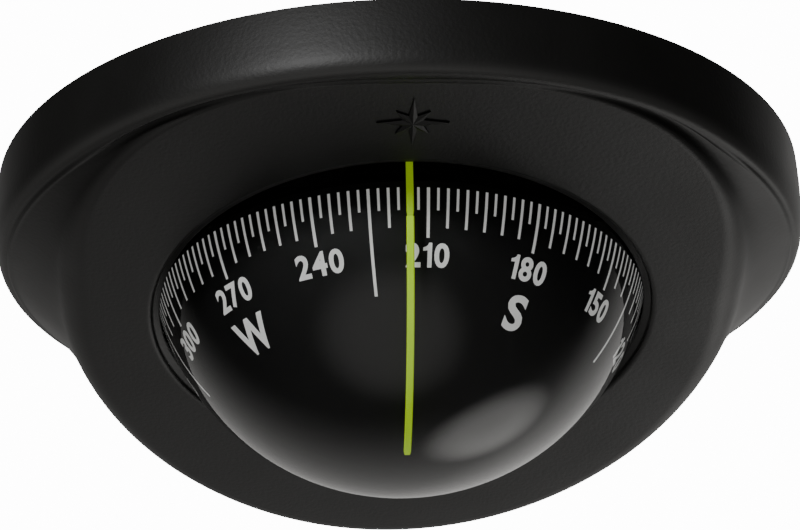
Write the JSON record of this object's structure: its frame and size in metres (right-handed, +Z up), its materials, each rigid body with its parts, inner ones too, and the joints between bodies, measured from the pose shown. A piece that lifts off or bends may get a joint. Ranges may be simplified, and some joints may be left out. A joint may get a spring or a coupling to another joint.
{
  "type": "overhead dome compass",
  "caption": "Liquid-filled dome compass in a wedge-shaped cowl, hung from an overhead panel, with a gimballed turning card and a geared magnet corrector.",
  "frame": {"origin": "centre of the mounting plane, where the gasket meets the overhead panel", "axes": "+Z up into the panel, -Z out of the dome, -Y toward the reader, +X to the reader's right"},
  "size_m": [0.1518, 0.1518, 0.0915],
  "materials": {
    "bowl": "satin moulded",
    "card_dish": "matt black with white marks",
    "card_float": "closed-cell foam",
    "card_magnet": "sintered magnet",
    "card_web": "natural nylon",
    "clamp_ring": "satin nylon",
    "clamp_screw": "stainless",
    "compensator_base": "satin moulded",
    "compensator_cover": "satin moulded",
    "counterweight": "turned",
    "cover_screw": "stainless",
    "cowl": "fine matt texture",
    "diaphragm": "matt",
    "diaphragm_retainer": "satin nylon",
    "dome": "polished clear acrylic",
    "dome_oring": "matt",
    "ew_driver": "natural nylon",
    "ew_follower": "natural nylon",
    "filler_plug": "turned",
    "filler_seal": "matt",
    "gimbal_cradle": "satin nylon",
    "jewel_cup": "turned, with jewel seat",
    "lamp_holder": "satin nylon",
    "lamp_led": "red epoxy lens",
    "lamp_terminal": "rolled",
    "lubber_line": "moulded lime green",
    "lubber_root": "moulded lime green",
    "mounting_screw": "stainless",
    "ns_driver": "natural nylon",
    "corrector_magnet": "sintered magnet",
    "ns_follower": "natural nylon",
    "panel_gasket": "matt foam rubber",
    "pitch_carrier": "satin nylon",
    "pitch_pin": "ground",
    "pivot_needle": "hardened, ground",
    "retainer_screw": "stainless",
    "roll_pin": "ground",
    "roll_ring": "black anodised"
  },
  "bodies": {
    "housing": {"bowl": "bowl", "clamp_ring": "clamp_ring", "clamp_screw_1": "clamp_screw", "clamp_screw_2": "clamp_screw", "clamp_screw_3": "clamp_screw", "clamp_screw_4": "clamp_screw", "compensator_base": "compensator_base", "compensator_cover": "compensator_cover", "cover_screw_1": "cover_screw", "cover_screw_2": "cover_screw", "cover_screw_3": "cover_screw", "cover_screw_4": "cover_screw", "cowl": "cowl", "diaphragm": "diaphragm", "diaphragm_retainer": "diaphragm_retainer", "dome": "dome", "dome_oring": "dome_oring", "filler_plug": "filler_plug", "filler_seal": "filler_seal", "gimbal_cradle": "gimbal_cradle", "lamp_holder": "lamp_holder", "lamp_led": "lamp_led", "lamp_terminal_1": "lamp_terminal", "lamp_terminal_2": "lamp_terminal", "lubber_line": "lubber_line", "lubber_root": "lubber_root", "mounting_screw_1": "mounting_screw", "mounting_screw_2": "mounting_screw", "mounting_screw_3": "mounting_screw", "mounting_screw_4": "mounting_screw", "panel_gasket": "panel_gasket", "retainer_screw_1": "retainer_screw", "retainer_screw_2": "retainer_screw", "retainer_screw_3": "retainer_screw", "retainer_screw_4": "retainer_screw", "roll_pin_1": "roll_pin", "roll_pin_2": "roll_pin"},
    "roll_ring": {"roll_ring": "roll_ring", "pitch_pin_1": "pitch_pin", "pitch_pin_2": "pitch_pin"},
    "pitch_carrier": {"pitch_carrier": "pitch_carrier", "counterweight": "counterweight", "pivot_needle": "pivot_needle"},
    "card": {"card_dish": "card_dish", "card_web": "card_web", "jewel_cup": "jewel_cup", "card_float": "card_float", "card_magnet_1": "card_magnet", "card_magnet_2": "card_magnet"},
    "ns_driver": {"ns_driver": "ns_driver", "ns_driver_magnet": "corrector_magnet"},
    "ns_follower": {"ns_follower": "ns_follower", "ns_follower_magnet": "corrector_magnet"},
    "ew_driver": {"ew_driver": "ew_driver", "ew_driver_magnet": "corrector_magnet"},
    "ew_follower": {"ew_follower": "ew_follower", "ew_follower_magnet": "corrector_magnet"}
  },
  "joints": [
    {"name": "gimbal_roll", "type": "hinge", "parent": "housing", "child": "roll_ring", "pos_m": [0, 0, -0.011], "axis": [0, 1, 0], "range_deg": [-28, 28]},
    {"name": "gimbal_pitch", "type": "hinge", "parent": "roll_ring", "child": "pitch_carrier", "pos_m": [0, 0, -0.011], "axis": [1, 0, 0], "range_deg": [-28, 28]},
    {"name": "card_turn", "type": "hinge", "parent": "pitch_carrier", "child": "card", "pos_m": [0, 0, -0.026], "axis": [0, 0, 1], "continuous": true},
    {"name": "ns_adjust", "type": "hinge", "parent": "housing", "child": "ns_driver", "pos_m": [-0.011, -0.005, 0.026], "axis": [0, 0, 1], "continuous": true},
    {"name": "ns_follow", "type": "hinge", "parent": "housing", "child": "ns_follower", "pos_m": [-0.011, 0.005, 0.026], "axis": [0, 0, 1], "continuous": true},
    {"name": "ew_adjust", "type": "hinge", "parent": "housing", "child": "ew_driver", "pos_m": [0.011, -0.005, 0.026], "axis": [0, 0, 1], "continuous": true},
    {"name": "ew_follow", "type": "hinge", "parent": "housing", "child": "ew_follower", "pos_m": [0.011, 0.005, 0.026], "axis": [0, 0, 1], "continuous": true}
  ],
  "couplings": [
    {"joint": "ns_follow", "follows": "ns_adjust", "ratio": -1},
    {"joint": "ew_follow", "follows": "ew_adjust", "ratio": -1}
  ]
}
